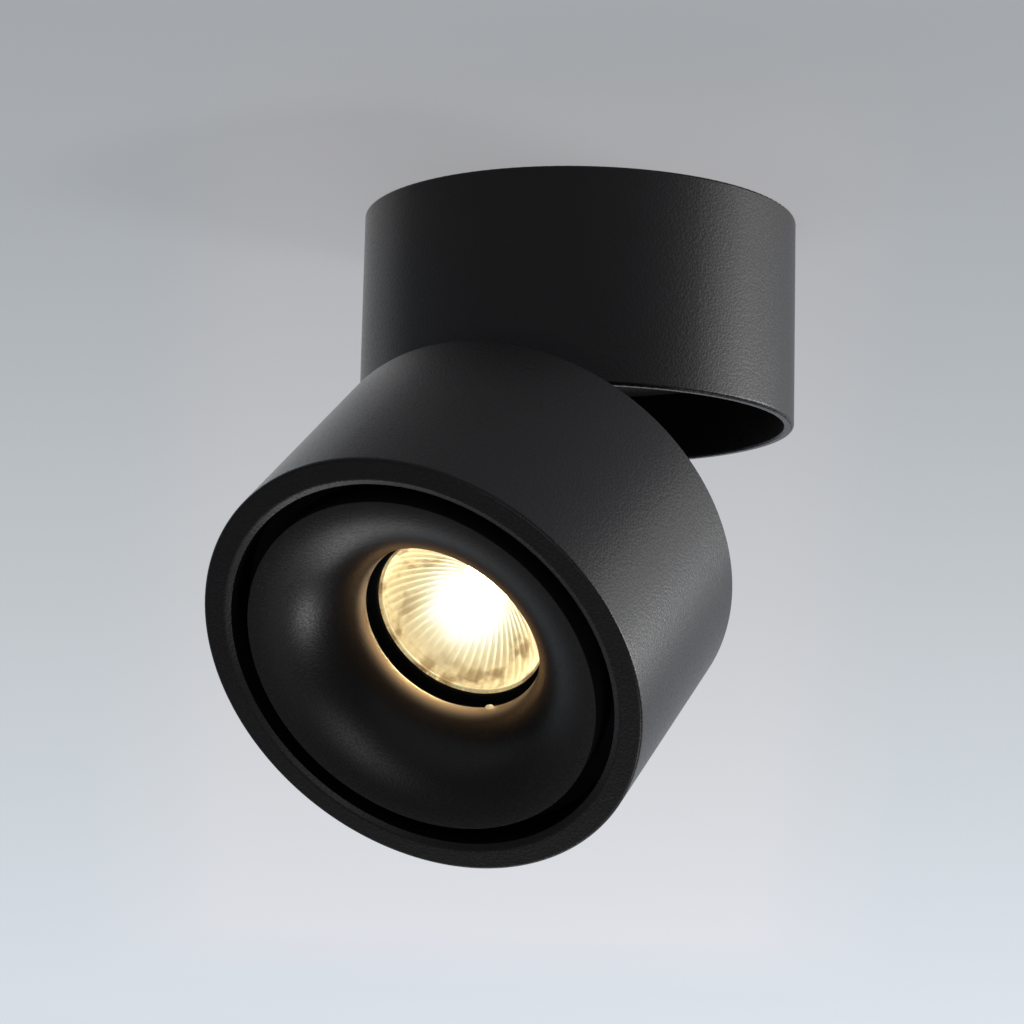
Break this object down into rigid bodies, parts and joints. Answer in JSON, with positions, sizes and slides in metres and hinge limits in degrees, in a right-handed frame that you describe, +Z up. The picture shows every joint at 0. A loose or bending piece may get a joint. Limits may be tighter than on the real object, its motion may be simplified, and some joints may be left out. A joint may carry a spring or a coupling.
{
  "type": "surface mounted ceiling spotlight",
  "caption": "Round black surface mounted ceiling spotlight: a short canopy with a tilting, turning cylinder head, a trumpet baffle and a bright fluted reflector.",
  "frame": {"origin": "centre of the ceiling contact face, on the canopy's axis, between the two ceiling screws", "axes": "+Z up into the ceiling; the head tilts away towards -Y about a hinge parallel to X"},
  "size_m": [0.1, 0.1478, 0.1506],
  "materials": {
    "powder_coat": "fine textured black powder coat on aluminium",
    "satin_black": "smooth satin black paint on aluminium",
    "black_anodised": "matt black anodised",
    "black_steel": "black coated sheet steel",
    "blackened_steel": "blackened steel",
    "zinc_steel": "bright zinc plated",
    "white_plastic": "moulded white flame retardant plastic",
    "dark_plastic": "dark moulded plastic",
    "circuit_board": "green solder resist",
    "brass": "turned brass",
    "nylon": "natural nylon",
    "chip_board": "white ceramic substrate",
    "lit_phosphor": "warm white lit phosphor",
    "bright_reflector": "bright vacuum metallised, fluted",
    "clear_glass": "clear tempered glass",
    "bare_aluminium": "bare extruded aluminium",
    "black_rubber": "black silicone rubber"
  },
  "bodies": {
    "canopy": {"canopy_floor": "bare_aluminium", "canopy_shell": "powder_coat", "canopy_side_screws": "blackened_steel", "ceiling_bracket": "zinc_steel", "driver_board": "circuit_board", "driver_case": "white_plastic", "driver_components": "dark_plastic", "driver_lid": "white_plastic", "driver_screws": "zinc_steel", "earth_screw": "brass", "earth_tag": "brass", "floor_screws": "zinc_steel", "swivel_bush": "nylon", "terminal_block": "white_plastic", "terminal_screws": "zinc_steel", "terminal_sleeves": "brass"},
    "swivel": {"swivel_nipple": "zinc_steel", "swivel_washer": "zinc_steel", "swivel_spring_washer": "zinc_steel", "swivel_locknut": "zinc_steel", "swivel_plate": "black_steel", "pan_stop_pin": "zinc_steel", "hinge_bracket": "black_steel", "hinge_rivets": "zinc_steel", "hinge_bolt": "zinc_steel", "hinge_spring_washer": "zinc_steel", "hinge_nut": "zinc_steel", "friction_washers": "nylon"},
    "head": {"hinge_arm": "black_steel", "hinge_spacer": "zinc_steel", "arm_screws": "blackened_steel", "head_housing": "powder_coat", "rear_cover": "powder_coat", "rear_cover_screws": "blackened_steel", "cable_grommet": "black_rubber", "heatsink": "bare_aluminium", "led_board": "chip_board", "led_emitter": "lit_phosphor", "led_holder": "white_plastic", "led_holder_screws": "zinc_steel", "reflector": "bright_reflector", "lens_tube": "black_anodised", "lens_tube_screws": "zinc_steel", "front_glass": "clear_glass", "glass_retainer": "blackened_steel", "baffle": "satin_black", "baffle_seat": "black_anodised", "post_screws": "zinc_steel"}
  },
  "joints": [
    {"name": "pan", "type": "hinge", "parent": "canopy", "child": "swivel", "pos_m": [0, 0, -0.0295], "axis": [0, 0, 1], "range_deg": [-165, 165]},
    {"name": "tilt", "type": "hinge", "parent": "swivel", "child": "head", "pos_m": [0, -0.0416, -0.0387], "axis": [-1, 0, 0], "range_deg": [-52.3, 37.7]}
  ]
}
